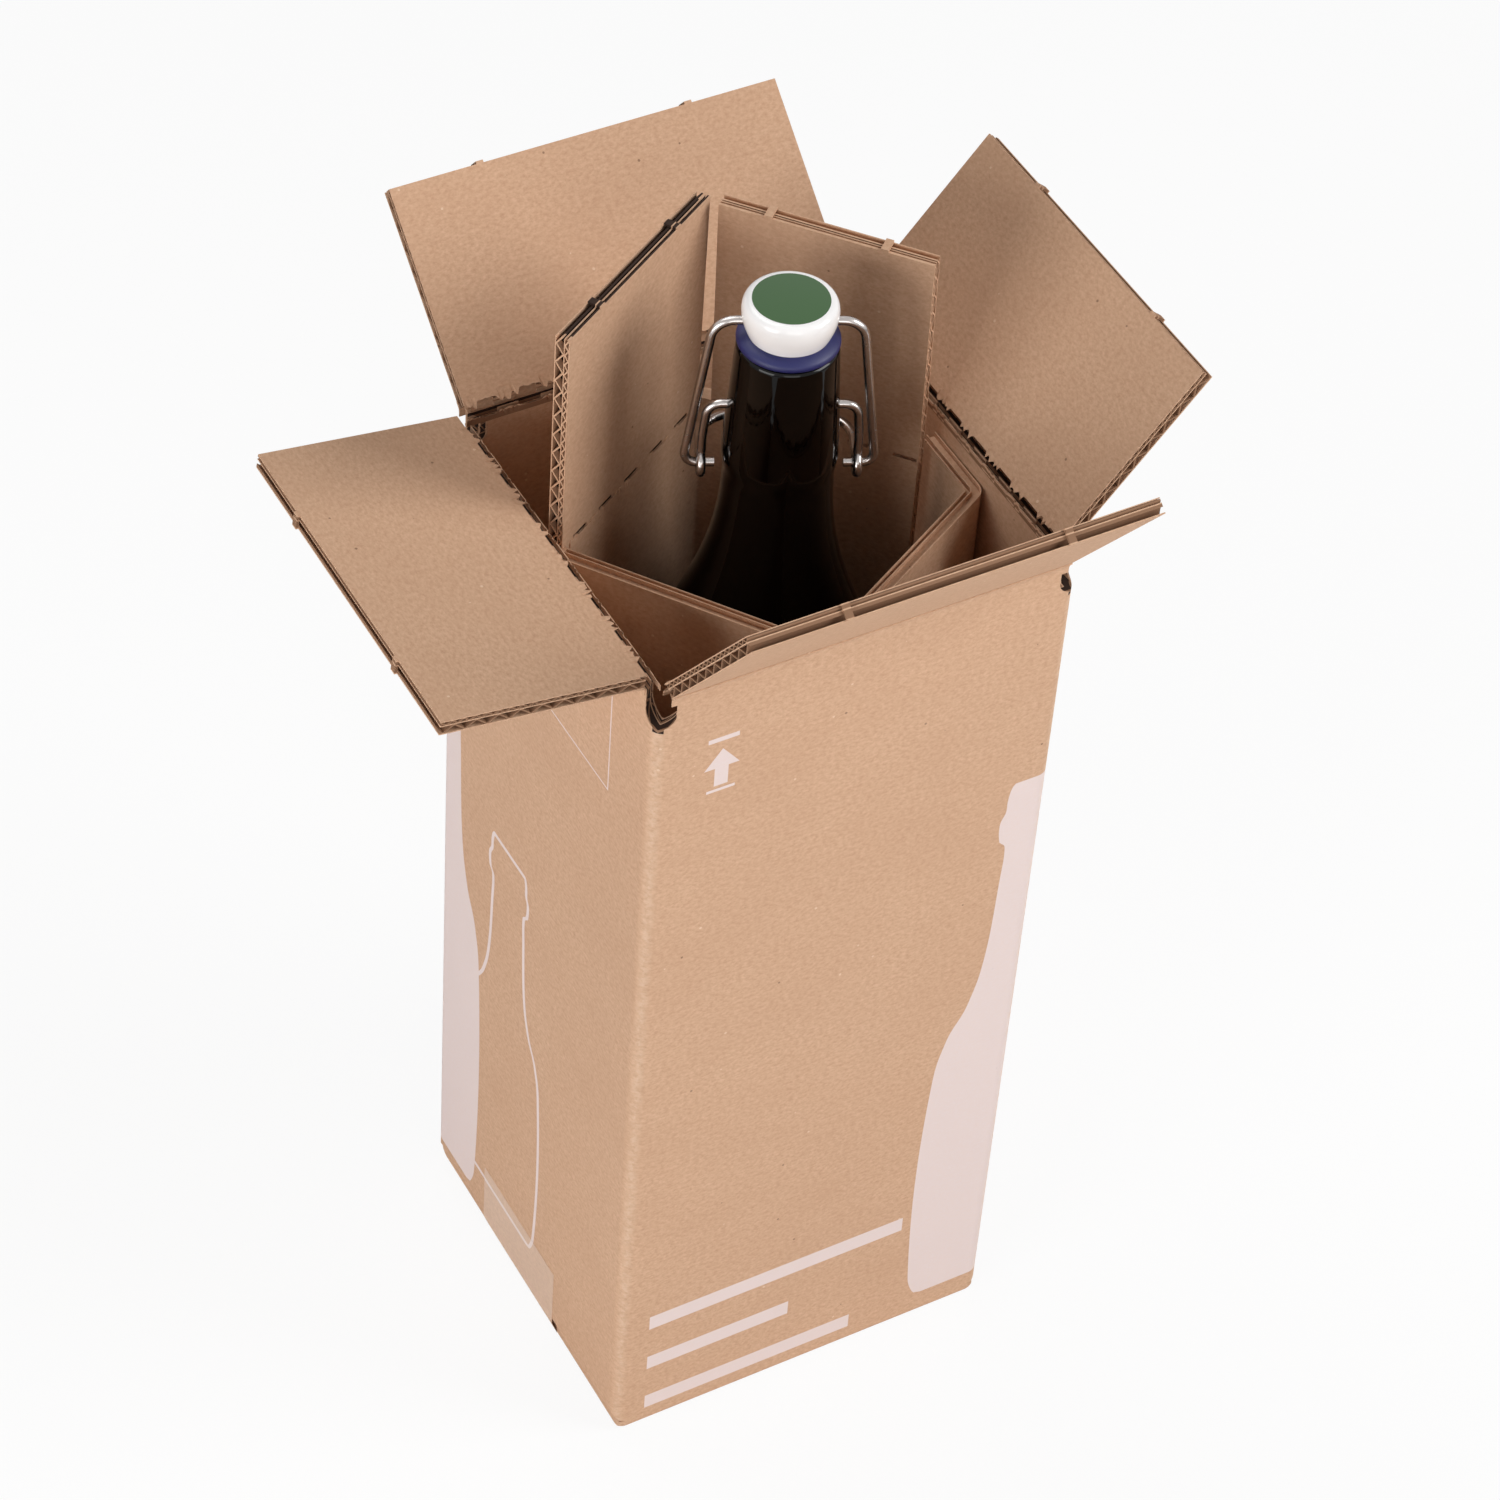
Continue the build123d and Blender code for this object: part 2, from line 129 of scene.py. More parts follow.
def kraft_board(name, origin=(0, 0, 0), turn=(0, 0, 0), finish=None):
    """Kraft liner, calendered and matt: fibre mottle, stray specks, and the flutes as faint ripples."""
    material, place = new_material(name, Roughness=0.82, Specular_IOR_Level=0.25)
    panel = add_node(material, "Mapping", place, vector_type="TEXTURE", Location=origin, Rotation=turn)

    # Fibre mottle is 1 mm across and drawn out along the flutes; the clouds in the pulp are 25 mm across
    fibres = add_node(material, "Mapping", panel, Scale=(0.65, 1.0, 0.65))
    mottle = add_node(material, "TexNoise", fibres, Scale=950.0, Detail=4.0, Roughness=0.75)
    clouds = add_node(material, "TexNoise", fibres, Scale=40.0, Detail=5.0, Roughness=0.65)
    share = add_node(material, "Math", mottle, 1.9, -0.45, operation="MULTIPLY_ADD")
    colour = add_node(material, "Mix", share, liner_dark, liner_light, data_type="RGBA")
    share = add_node(material, "Math", clouds, 0.9, -0.3, operation="MULTIPLY_ADD")
    colour = add_node(material, "Mix", share, colour, liner_shade, data_type="RGBA")

    # Specks are 0.5 mm, about one to the square centimetre: dark bark and pale shives
    for scale, threshold, speck in ((150.0, 0.06, speck_dark), (190.0, 0.085, speck_light)):
        cells = add_node(material, "TexVoronoi", panel, Scale=scale).node
        dot = add_node(material, "Math", cells.outputs["Distance"], threshold, operation="LESS_THAN")
        chosen = add_node(material, "SeparateColor", cells.outputs["Color"])
        rare = add_node(material, "Math", chosen, 0.14, operation="LESS_THAN")
        dots = add_node(material, "Math", dot, rare, operation="MULTIPLY")
        dots = add_node(material, "Math", dots, 0.6, operation="MULTIPLY")
        colour = add_node(material, "Mix", dots, colour, speck, data_type="RGBA")
    if finish is not None:
        colour = finish(material, place, panel, mottle, colour)

    # The liner sinks 0.03 mm between the flutes, under a fine paper tooth
    ripple = add_node(material, "TexWave", panel, bands_direction="Y", Scale=0.3142 / coarse_pitch,
                      Distortion=0.4, Detail=1.0)
    ripple = add_node(material, "Math", ripple.node.outputs["Fac"], 0.12, operation="MULTIPLY")
    height = add_node(material, "Math", mottle, 0.9, ripple, operation="MULTIPLY_ADD")
    bump = add_node(material, "Bump", Strength=0.2, Distance=0.25 * mm, Height=height)
    join(material, Base_Color=colour, Normal=bump)
    return material


# A long-necked bottle as its radius over its height, both as shares
silhouette = [
    (0.0, 0.80), (0.02, 0.955), (0.05, 1.0), (0.46, 1.0), (0.53, 0.90), (0.60, 0.66), (0.68, 0.53),
    (0.82, 0.47), (0.885, 0.46), (0.90, 0.54), (0.93, 0.56), (0.955, 0.50), (0.97, 0.50), (1.0, 0.43),
]
curve_top = 0.9
silhouette_radius = 27.5 * mm
silhouette_low, silhouette_high = 11.0 * mm, 236.0 * mm
outline_axis = 17.5 * mm
outline_radius = 23.5 * mm
outline_low, outline_high = 24.0 * mm, 184.0 * mm
outline_width = 1.5 * mm
frame_low, frame_high = 263.0 * mm, 303.0 * mm
frame_reach = 39.0 * mm
frame_line = 0.5 * mm
face_skin = 1.0 * mm
arrow_x, arrow_tip, arrow_foot = -44.0 * mm, 292.4 * mm, 278.6 * mm
head_height, head_half, shaft_half = 7.0 * mm, 5.4 * mm, 2.1 * mm
fold_wear = (0.8 * mm, 3.4 * mm)
foot_wear = (0.3 * mm, 1.8 * mm)
rim_band = 12.0 * mm

# Left, right, low and high edge of each bar in mm: two with the arrow, then three low down
bars = [
    (-48.3, -39.6, 276.4, 277.4), (-48.6, -39.2, 295.4, 297.0),
    (-55.0, 33.0, 47.0, 53.0), (-55.0, -6.0, 27.5, 33.5), (-55.0, 17.0, 8.0, 14.0),
]


def inside_silhouette(material, height, across, radius, low, high):
    """How far inside a bottle silhouette a place lies, as a share of the silhouette's radius."""
    share = add_node(material, "MapRange", height, low, high, 0.0, 1.0)
    curve = add_node(material, "FloatCurve", Value=share).node
    graph = curve.mapping.curves[0]
    points = [(up, reach * curve_top) for up, reach in silhouette]
    graph.points[0].location, graph.points[1].location = points[0], points[-1]
    for point in points[1:-1]:
        graph.points.new(*point)
    curve.mapping.update()
    across = add_node(material, "Math", across, radius / curve_top, operation="DIVIDE")
    depth = add_node(material, "Math", curve.outputs[0], across, operation="SUBTRACT")
    return add_node(material, "Math", depth, curve_top, operation="DIVIDE")


def carton_ink(material, x, y, z):
    """The print on the carton's outside, as a list of masks, of which the largest counts."""
    masks = []

    # Silhouettes round the front right and the back left corner, measured along both faces
    for side in (1.0, -1.0):
        across_front = add_node(material, "Math", x, -side, half_width, operation="MULTIPLY_ADD")
        across_side = add_node(material, "Math", y, side, half_depth, operation="MULTIPLY_ADD")
        across = add_node(material, "Math", across_front, across_side, operation="MAXIMUM")
        depth = inside_silhouette(material, z, across, silhouette_radius, silhouette_low, silhouette_high)
        filled = add_node(material, "Math", depth, 0.0, operation="GREATER_THAN")
        tall = band(material, z, silhouette_low, silhouette_high)
        masks.append(add_node(material, "Math", filled, tall, operation="MULTIPLY"))

    # Outline bottle on the left face
    left_face = add_node(material, "Math", x, -half_width + face_skin, operation="LESS_THAN")
    across = add_node(material, "Math", y, outline_axis, operation="SUBTRACT")
    across = add_node(material, "Math", across, operation="ABSOLUTE")
    depth = inside_silhouette(material, z, across, outline_radius, outline_low, outline_high)
    side_line = band(material, depth, 0.0, outline_width / outline_radius)
    foot_line = band(material, z, outline_low, outline_low + outline_width)
    top_line = band(material, z, outline_high - outline_width, outline_high)
    end_lines = add_node(material, "Math", foot_line, top_line, operation="MAXIMUM")
    filled = add_node(material, "Math", depth, 0.0, operation="GREATER_THAN")
    end_lines = add_node(material, "Math", end_lines, filled, operation="MULTIPLY")
    line = add_node(material, "Math", side_line, end_lines, operation="MAXIMUM")
    tall = band(material, z, outline_low, outline_high)
    line = add_node(material, "Math", line, tall, operation="MULTIPLY")
    masks.append(add_node(material, "Math", line, left_face, operation="MULTIPLY"))

    # Thin frame high on the left face
    inner_reach = frame_reach - frame_line
    outer_y = band(material, y, -frame_reach, frame_reach)
    inner_y = band(material, y, -inner_reach, inner_reach)
    outer_z = band(material, z, frame_low, frame_high)
    inner_z = band(material, z, frame_low + frame_line, frame_high - frame_line)
    outer = add_node(material, "Math", outer_y, outer_z, operation="MULTIPLY")
    inner = add_node(material, "Math", inner_y, inner_z, operation="MULTIPLY")
    line = add_node(material, "Math", outer, inner, operation="SUBTRACT")
    masks.append(add_node(material, "Math", line, left_face, operation="MULTIPLY"))

    # Arrow over a base bar, a short bar above it, and three bars low down, on the front face
    front_face = add_node(material, "Math", y, -half_depth + face_skin, operation="LESS_THAN")
    across = add_node(material, "Math", x, arrow_x, operation="SUBTRACT")
    across = add_node(material, "Math", across, operation="ABSOLUTE")
    slope = -head_half / head_height
    edge = add_node(material, "Math", z, slope, -arrow_tip * slope, operation="MULTIPLY_ADD")
    head = add_node(material, "Math", across, edge, operation="LESS_THAN")
    tall = band(material, z, arrow_tip - head_height, arrow_tip)
    head = add_node(material, "Math", head, tall, operation="MULTIPLY")
    shaft = add_node(material, "Math", across, shaft_half, operation="LESS_THAN")
    tall = band(material, z, arrow_foot, arrow_tip - head_height)
    shaft = add_node(material, "Math", shaft, tall, operation="MULTIPLY")
    front = add_node(material, "Math", head, shaft, operation="MAXIMUM")
    for left, right, low, high in bars:
        wide = band(material, x, left * mm, right * mm)
        tall = band(material, z, low * mm, high * mm)
        bar = add_node(material, "Math", wide, tall, operation="MULTIPLY")
        front = add_node(material, "Math", front, bar, operation="MAXIMUM")
    masks.append(add_node(material, "Math", front, front_face, operation="MULTIPLY"))
    return masks


def carton_finish(material, place, panel, mottle, colour):
    """The carton's print, its rubbed folds, and the flutes on the plain cut faces at the rim, with painted
    shade in their hollows.
    """
    x, y, z = add_node(material, "SeparateXYZ", place).node.outputs
    x_out, y_out = [add_node(material, "Math", axis, operation="ABSOLUTE") for axis in (x, y)]
    from_side = add_node(material, "Math", half_width, x_out, operation="SUBTRACT")
    from_front = add_node(material, "Math", half_depth, y_out, operation="SUBTRACT")
    inward = add_node(material, "Math", from_side, from_front, operation="MINIMUM")
    from_fold = add_node(material, "Math", from_side, from_front, operation="MAXIMUM")

    # The ink lies in the liner's hollows, so the mottle shows through it a little
    masks = carton_ink(material, x, y, z)
    ink = masks[0]
    for mask in masks[1:]:
        ink = add_node(material, "Math", ink, mask, operation="MAXIMUM")
    outside = add_node(material, "Math", inward, board / 2, operation="LESS_THAN")
    ink = add_node(material, "Math", ink, outside, operation="MULTIPLY")
    cover = add_node(material, "Math", mottle, -0.3, 1.0, operation="MULTIPLY_ADD")
    cover = add_node(material, "Math", cover, ink, operation="MULTIPLY")
    colour = add_node(material, "Mix", cover, colour, ink_colour, data_type="RGBA")

    # Folds and the foot are rubbed pale in patches 2 to 4 mm long
    near_fold = add_node(material, "MapRange", from_fold, *fold_wear, 1.0, 0.0)
    near_foot = add_node(material, "MapRange", z, *foot_wear, 1.0, 0.0)
    near = add_node(material, "Math", near_fold, near_foot, operation="MAXIMUM")
    patches = add_node(material, "TexNoise", place, Scale=420.0, Detail=3.0, Roughness=0.7)
    rubbed = add_node(material, "MapRange", patches, 0.45, 0.6, 0.15, 0.7)
    rubbed = add_node(material, "Math", rubbed, near, operation="MULTIPLY")
    colour = add_node(material, "Mix", rubbed, colour, liner_rubbed, data_type="RGBA")

    # Cut faces at the rim show both layers of flutes in section, and the hollows between the flute paper
    # are painted near black as shade
    at_rim = add_node(material, "Math", z, carton_high.z - rim_band, operation="GREATER_THAN")
    for (low, high), pitch in ((coarse_layer, coarse_pitch), (fine_layer, fine_pitch)):
        layer = band(material, inward, low, high)
        between = add_node(material, "Math", layer, at_rim, operation="MULTIPLY")
        colour = add_node(material, "Mix", between, colour, flute_colour, data_type="RGBA")
        level = add_node(material, "MapRange", inward, low, high, 0.1, 0.9)
        wave = add_node(material, "Math", z, pitch / 2, operation="DIVIDE")
        wave = add_node(material, "Math", wave, 1.0, operation="PINGPONG")
        off = add_node(material, "Math", wave, level, operation="SUBTRACT")
        off = add_node(material, "Math", off, operation="ABSOLUTE")
        # Painted shade: away from the wavy flute paper, the hollows are coloured near black
        hollow_shade = add_node(material, "Math", off, 0.16, operation="GREATER_THAN")
        hollow_shade = add_node(material, "Math", hollow_shade, between, operation="MULTIPLY")
        colour = add_node(material, "Mix", hollow_shade, colour, hollow_shade_colour, data_type="RGBA")
    return colour


def dress(piece, material):
    """Gives a piece one material in all its slots."""
    slots = piece.data.materials
    slots.clear()
    slots.append(material)


upright_flutes = (math.pi / 2, 0, 0)
dress(frame["nodes"]["carton"], kraft_board(
    "kraft corrugated board, printed", turn=upright_flutes, finish=carton_finish))


# Top flaps: they go on from the carton's walls above a perforated crease, and each leans outwards.
# Same double-wall board, with the flutes running along the crease. The outside liner bends at the
# crease, and the inside liner is torn there.
hinges = {joint["child"]: joint for joint in frame["joints"]}
hinge_offset = 0.2 * mm
proud = 0.03 * mm
bend_reach = 2.4 * mm
bend_liner = 0.3 * mm
bend_zone = 0.3 * mm
tear_steps = 150
cut_length = 7.0 * mm
cut_pitch = 13.5 * mm
torn_liner_thickness = 0.25 * mm
slit_edge = (0.35, 0.8)
tuft_short = -0.3
tuft_lift = 0.5
flap_tuft = 1.7
wall_tuft = 0.3


def flap_finish(material, place, panel, mottle, colour):
    """The browner flute paper between the liners."""
    depth = add_node(material, "SeparateXYZ", panel).node.outputs[2]
    inward = add_node(material, "Math", depth, -1.0, -hinge_offset, operation="MULTIPLY_ADD")
    for low, high in (coarse_layer, fine_layer):
        between = band(material, inward, low, high)
        colour = add_node(material, "Mix", between, colour, flute_colour, data_type="RGBA")
    return colour


def finished(name, mesh, place, material):
    """Makes a piece of a bmesh, in its place."""
    mesh.transform(place)
    data = bpy.data.meshes.new(name)
    mesh.to_mesh(data)
    mesh.free()
    piece = bpy.data.objects.new(name, data)
    bpy.context.scene.collection.objects.link(piece)
    dress(piece, material)
    return piece


def bent_liner(side, half, upright, lean, material):
    """The outside liner where it turns from the wall into the flap. Its upper rows are turned to the flap's
    lean.
    """
    strip = bmesh.new()
    bmesh.ops.create_grid(strip, x_segments=1, y_segments=6, size=1.0)
    bmesh.ops.scale(strip, vec=(half, bend_reach, 1.0), verts=strip.verts)
    middle = [v for v in strip.verts if abs(v.co.y) < bend_zone]
    above = [v for v in strip.verts if v.co.y >= bend_zone]
    sunk = [v for v in strip.verts if v not in middle]
    bmesh.ops.translate(strip, vec=(0, 0, proud - hinge_offset), verts=sunk)
    bmesh.ops.rotate(strip, verts=above, cent=(0, 0, 0), matrix=Matrix.Rotation(lean, 3, "X"))
    bmesh.ops.recalc_face_normals(strip, faces=strip.faces)
    bmesh.ops.solidify(strip, geom=strip.faces[:], thickness=bend_liner)
    bmesh.ops.recalc_face_normals(strip, faces=strip.faces)
    piece = finished(side + "_bent_liner", strip, upright, material)
    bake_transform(piece)


def torn_liner(name, half, place, body, tuft, material):
    """The inside liner at a torn crease: a plain edge along the slits, and tufts at the bridges, in mm."""
    rough = random.Random(name)
    strip = bmesh.new()
    bmesh.ops.create_grid(strip, x_segments=tear_steps, y_segments=1, size=1.0)
    bmesh.ops.scale(strip, vec=(half, 1.0, 1.0), verts=strip.verts)
    for vert in strip.verts:
        from_slit = abs((vert.co.x + cut_pitch / 2) % cut_pitch - cut_pitch / 2)
        if vert.co.y > 0:
            vert.co.y = bend_reach
        elif from_slit > cut_length / 2:
            vert.co.y = -rough.uniform(tuft_short, tuft) * mm
            vert.co.z = rough.uniform(0.0, tuft_lift) * mm
        else:
            vert.co.y = rough.uniform(*slit_edge) * mm
    bmesh.ops.recalc_face_normals(strip, faces=strip.faces)
    bmesh.ops.solidify(strip, geom=strip.faces[:], thickness=torn_liner_thickness)
    bmesh.ops.recalc_face_normals(strip, faces=strip.faces)
    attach(finished(name, strip, place, material), body)


for side, facing in (("front", 0.0), ("back", math.pi), ("left", -math.pi / 2), ("right", math.pi / 2)):
    flap = side + "_flap"
    hinge = hinges[flap]
    lean = -math.radians(hinge["range_deg"][0])
    flap_board = kraft_board(
        "kraft corrugated board, " + side, hinge["pos_m"], (math.pi / 2 + lean, 0, facing), flap_finish)
    dress(frame["nodes"][flap], flap_board)
    low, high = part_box(flap)
    half = high.x if side in ("front", "back") else high.y
    upright = Matrix.Translation(hinge["pos_m"]) @ Matrix.Rotation(facing, 4, "Z")
    upright = upright @ Matrix.Rotation(math.pi / 2, 4, "X")
    bent_liner(side, half, upright, lean, flap_board)
    inside = Matrix.Translation((0, 0, -hinge_offset - board - proud))
    flap_foot = upright @ Matrix.Rotation(lean, 4, "X") @ inside
    wall_rim = upright @ inside @ Matrix.Rotation(math.pi, 4, "Z")
    torn_liner(side + "_flap_tear", half, flap_foot, flap, flap_tuft, flap_board)
    torn_liner(side + "_wall_tear", half, wall_rim, "box", wall_tuft, flap_board)


# Sealing tape: one strip of clear polypropylene tape over the bottom seam and up both sides.
# The film clings to the liner, so it is drawn as the board and print seen through it, glossier, and paler
# by a mix towards the film's pale tint, which also stands in as a painted sheen.
film_tint_and_sheen_share = 0.2
film_tint_and_sheen_colour = "#F6E8DC"
film_roughness = 0.35


def taped(material, place, panel, mottle, colour):
    """The printed board under the film, mixed a little towards its pale tint, which also serves as a
    painted sheen.
    """
    printed = carton_finish(material, place, panel, mottle, colour)
    return add_node(material, "Mix", film_tint_and_sheen_share, printed, film_tint_and_sheen_colour, data_type="RGBA")


tape = kraft_board("clear polypropylene tape", turn=upright_flutes, finish=taped)
tape.node_tree.nodes["Principled BSDF"].inputs["Roughness"].default_value = film_roughness
dress(frame["nodes"]["sealing_tape"], tape)


# Sleeve: one sheet of the same board, creased into five panels and set in the carton on its end.
# Two panels go on above a perforated crease, where the inside liner is torn. It has no print.
sleeve_crease = 310.0 * mm
sleeve_clearance = 0.5 * mm
sleeve_tuft = 0.2
fold_radius = 0.8 * mm
left_fold_y = 8.0 * mm
left_fold = Vector((sleeve_clearance + fold_radius + 2 * board - half_width, left_fold_y, 0.0))
back_left_panel = 72.5 * mm
back_left_heading = math.radians(31.5)
back_right_panel = 64.0 * mm
back_right_heading = math.radians(-49.5)
panel_trim = 2.0 * mm


def along_heading(heading):
    """The level direction of a heading."""
    return Vector((math.cos(heading), math.sin(heading), 0))


def sleeve_finish(material, place, panel, mottle, colour):
    """The shade between the liners, in the open edges of the back left panel."""
    local = add_node(material, "Mapping", place, vector_type="TEXTURE", Location=left_fold,
                     Rotation=(0, 0, back_left_heading))
    along, outward = add_node(material, "SeparateXYZ", local).node.outputs[:2]
    inward = add_node(material, "Math", fold_radius + board, outward, operation="SUBTRACT")
    in_panel = band(material, along, 0.0, back_left_panel)
    for low, high in (coarse_layer, fine_layer):
        layer = band(material, inward, low, high)
        between = add_node(material, "Math", layer, in_panel, operation="MULTIPLY")
        # Painted shade: both layers between the liners are coloured near black
        colour = add_node(material, "Mix", between, colour, hollow_shade_colour, data_type="RGBA")
    return colour


sleeve_board = kraft_board("kraft corrugated board, sleeve", turn=upright_flutes, finish=sleeve_finish)
dress(frame["nodes"]["bottle_sleeve"], sleeve_board)

back_fold = left_fold + along_heading(back_left_heading) * back_left_panel
for name, start, heading, length in (
    ("back_left", left_fold, back_left_heading, back_left_panel),
    ("back_right", back_fold, back_right_heading, back_right_panel),
):
    middle = start + along_heading(heading) * length / 2
    face = Matrix.Translation(middle + Vector((0, 0, sleeve_crease))) @ Matrix.Rotation(heading, 4, "Z")
    face = face @ Matrix.Translation((0, fold_radius - 2 * proud, 0))
    face = face @ Matrix.Rotation(-math.pi / 2, 4, "X")
    half = length / 2 - panel_trim
    torn_liner(name + "_lower_tear", half, face, "box", sleeve_tuft, sleeve_board)


# Spacer: a strip of the same board folded to a square ring, hidden under the bottle.
# It lifts the bottle so that its neck stands clear of the sleeve.
dress(frame["nodes"]["height_spacer"], sleeve_board)


# Bottle: blown and moulded glass, so dark a brown that it looks black, and fire polished.
# It stands on the spacer, and the sleeve's panels hold it upright. The wall is 3.2 mm thick.
bottle_low, bottle_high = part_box("bottle")
bottle_axis = (bottle_low + bottle_high) / 2
turned_steps = 96
curve_steps = 20
arc_steps = 7
sharp_angle = math.radians(35)


def turned(name, node, body, outline, foot, material):
    """A turned piece: an outline of radii and heights in mm over its foot, spun about the bottle's axis."""
    shape = bmesh.new()
    rim = [shape.verts.new((radius * mm, 0, height * mm)) for radius, height in outline]
    for pair in zip(rim, rim[1:]):
        shape.edges.new(pair)
    bmesh.ops.spin(shape, geom=shape.verts[:] + shape.edges[:], cent=(0, 0, 0), axis=(0, 0, 1),
                   angle=2 * math.pi, steps=turned_steps, use_merge=True)
    bmesh.ops.remove_doubles(shape, verts=shape.verts[:], dist=0.001 * mm)
    bmesh.ops.recalc_face_normals(shape, faces=shape.faces)
    for face in shape.faces:
        face.smooth = True
    for edge in shape.edges:
        edge.smooth = edge.calc_face_angle(0.0) < sharp_angle
    piece = finished(name, shape, Matrix.Translation((bottle_axis.x, bottle_axis.y, foot)), material)
    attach(piece, body)
    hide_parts(node)


glass, _ = new_material(
    "dark brown bottle glass", Base_Color="#020101", Roughness=0.05, IOR=1.52, Specular_IOR_Level=0.2)
heel = interpolate_bezier((30.0, 0.0), (33.3, 0.0), (36.0, 2.7), (36.0, 6.0), arc_steps)
shoulder = interpolate_bezier((36.0, 170.0), (36.0, 200.0), (15.3, 217.7), (15.3, 262.2), curve_steps)
bead = interpolate_bezier((15.3, 262.2), (15.3, 265.5), (16.1, 267.0), (16.1, 270.7), arc_steps)
lip = interpolate_bezier((14.0, 305.6), (14.0, 306.5), (13.3, 307.2), (12.4, 307.2), arc_steps)
inside = interpolate_bezier((8.8, 279.2), (8.8, 235.0), (32.8, 212.0), (32.8, 170.0), curve_steps)
bottle_outline = [
    (0.0, 4.0), (24.0, 0.4), *heel, *shoulder, *bead[1:], *lip, (9.6, 307.2), (8.8, 306.4), *inside,
    (32.8, 9.2), (24.0, 7.2), (0.0, 10.4),
]
turned("turned_bottle", "bottle", "box", bottle_outline, bottle_low.z, glass)


# Stopper: glazed white porcelain head with a plug, its flat top printed green. The glaze gives it a
# sharp shine. The bail passes through it, and it presses the gasket on the lip.
head_rise = 10.6
stopper_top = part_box("stopper")[1].z
stopper_foot = stopper_top - head_rise * mm
green_radius = 10.5 * mm
green_depth = 0.3 * mm
porcelain, place = new_material("glazed porcelain, green top", Roughness=0.12, IOR=1.5)
x, y, z = add_node(porcelain, "SeparateXYZ", place).node.outputs
in_plan = add_node(porcelain, "CombineXYZ", x, y, 0.0)
axis_in_plan = (bottle_axis.x, bottle_axis.y, 0.0)
off_axis = add_node(porcelain, "VectorMath", in_plan, axis_in_plan, operation="DISTANCE")
disc = add_node(porcelain, "Math", off_axis, green_radius, operation="LESS_THAN")
top = add_node(porcelain, "Math", z, stopper_top - green_depth, operation="GREATER_THAN")
field = add_node(porcelain, "Math", disc, top, operation="MULTIPLY")
join(porcelain, Base_Color=add_node(porcelain, "Mix", field, "#FDFBFA", "#375F2F", data_type="RGBA"))
belly = interpolate_bezier((11.3, 0.0), (12.0, 1.6), (13.1, 4.4), (13.1, 7.0), arc_steps)
crown = interpolate_bezier((13.1, 7.0), (13.1, 9.2), (12.3, head_rise), (10.6, head_rise), arc_steps)
stopper_outline = [
    (0.0, -10.4), (5.0, -10.4), (7.2, -3.4), (7.2, 0.0), *belly, *crown[1:], (0.0, head_rise),
]
turned("turned_stopper", "stopper", "stopper", stopper_outline, stopper_foot, porcelain)


# Gasket: a moulded ring of blue rubber round the plug, pressed on the lip.
# Matt, with a faint bloom.
gasket_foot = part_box("stopper_gasket")[0].z
rubber, place = new_material("blue rubber", Base_Color="#171A52", Roughness=0.5)
bloom = add_node(rubber, "TexNoise", place, Scale=900.0, Detail=2.0)
join(rubber, Normal=add_node(rubber, "Bump", Strength=0.15, Distance=0.1 * mm, Height=bloom))
rim = interpolate_bezier((13.6, 0.0), (14.25, 0.2), (14.2, 1.4), (13.6, 2.0), arc_steps)
gasket_outline = [(7.25, 0.0), *rim, (11.3, 3.35), (7.25, 3.35), (7.25, 0.0)]
turned("turned_gasket", "stopper_gasket", "stopper", gasket_outline, gasket_foot, rubber)


# Closure wires: bright drawn steel wire, bent cold, with long soft highlights. The bail passes through
# the stopper and hooks into the lever's eyes, and the lever turns in two dimples in the neck.
wire_radius = 1.3
bevel_steps = 4
bend_steps = 8
longest_bend = 0.45
handle_share = 0.45
closure_turn = math.radians(-25)
closure = Matrix.Translation((bottle_axis.x, bottle_axis.y, 0)) @ Matrix.Rotation(closure_turn, 4, "Z")

steel, place = new_material("bright drawn steel wire", Base_Color="#AFA9A6", Metallic=1.0)
drawn = add_node(steel, "TexNoise", place, Scale=300.0, Detail=2.0)
join(steel, Roughness=add_node(steel, "MapRange", drawn, 0.3, 0.7, 0.2, 0.28))


def bent_wire(wire, route, bend):
    """A round wire along a route of corners in mm, each corner bent in a curve as long as the bend."""
    corners = [closure @ (Vector(point) * mm) for point in route]
    points = [(corners[0], corners[0], corners[0])]
    for before, corner, after in zip(corners, corners[1:], corners[2:]):
        behind, ahead = before - corner, after - corner
        reach = min(bend * mm, behind.length * longest_bend, ahead.length * longest_bend)
        behind, ahead = behind.normalized() * reach, ahead.normalized() * reach
        points.append((corner + behind, corner + behind, corner + behind * handle_share))
        points.append((corner + ahead, corner + ahead * handle_share, corner + ahead))
    points.append((corners[-1], corners[-1], corners[-1]))
    spline = wire.splines.new("BEZIER")
    spline.bezier_points.add(len(points) - 1)
    for bezier_point, (spot, handle_before, handle_after) in zip(spline.bezier_points, points):
        bezier_point.handle_left_type = "FREE"
        bezier_point.handle_right_type = "FREE"
        bezier_point.co = spot
        bezier_point.handle_left = handle_before
        bezier_point.handle_right = handle_after


def wire_piece(name, node, body, routes):
    """The wires of one body, as one piece of smooth round wire."""
    wire = bpy.data.curves.new(name, "CURVE")
    wire.dimensions = "3D"
    wire.bevel_depth = wire_radius * mm
    wire.bevel_resolution = bevel_steps
    wire.resolution_u = bend_steps
    wire.use_fill_caps = True
    for route, bend in routes:
        bent_wire(wire, route, bend)
    piece = bpy.data.objects.new(name, wire)
    bpy.context.scene.collection.objects.link(piece)
    dress(piece, steel)
    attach(piece, body)
    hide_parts(node)


# The bail, from hook to hook by way of the stopper
eye_height = 330.0
hook_end = 17.6
bail_foot = 26.2
bail_head, bail_height = 19.9, 380.1
bail_bend = 5.5
bail_route = [
    (-hook_end, 0, eye_height), (-bail_foot, 0, eye_height), (-bail_head, 0, bail_height),
    (bail_head, 0, bail_height), (bail_foot, 0, eye_height), (hook_end, 0, eye_height),
]
wire_piece("bent_bail", "bail_wire", "bail", [(bail_route, bail_bend)])

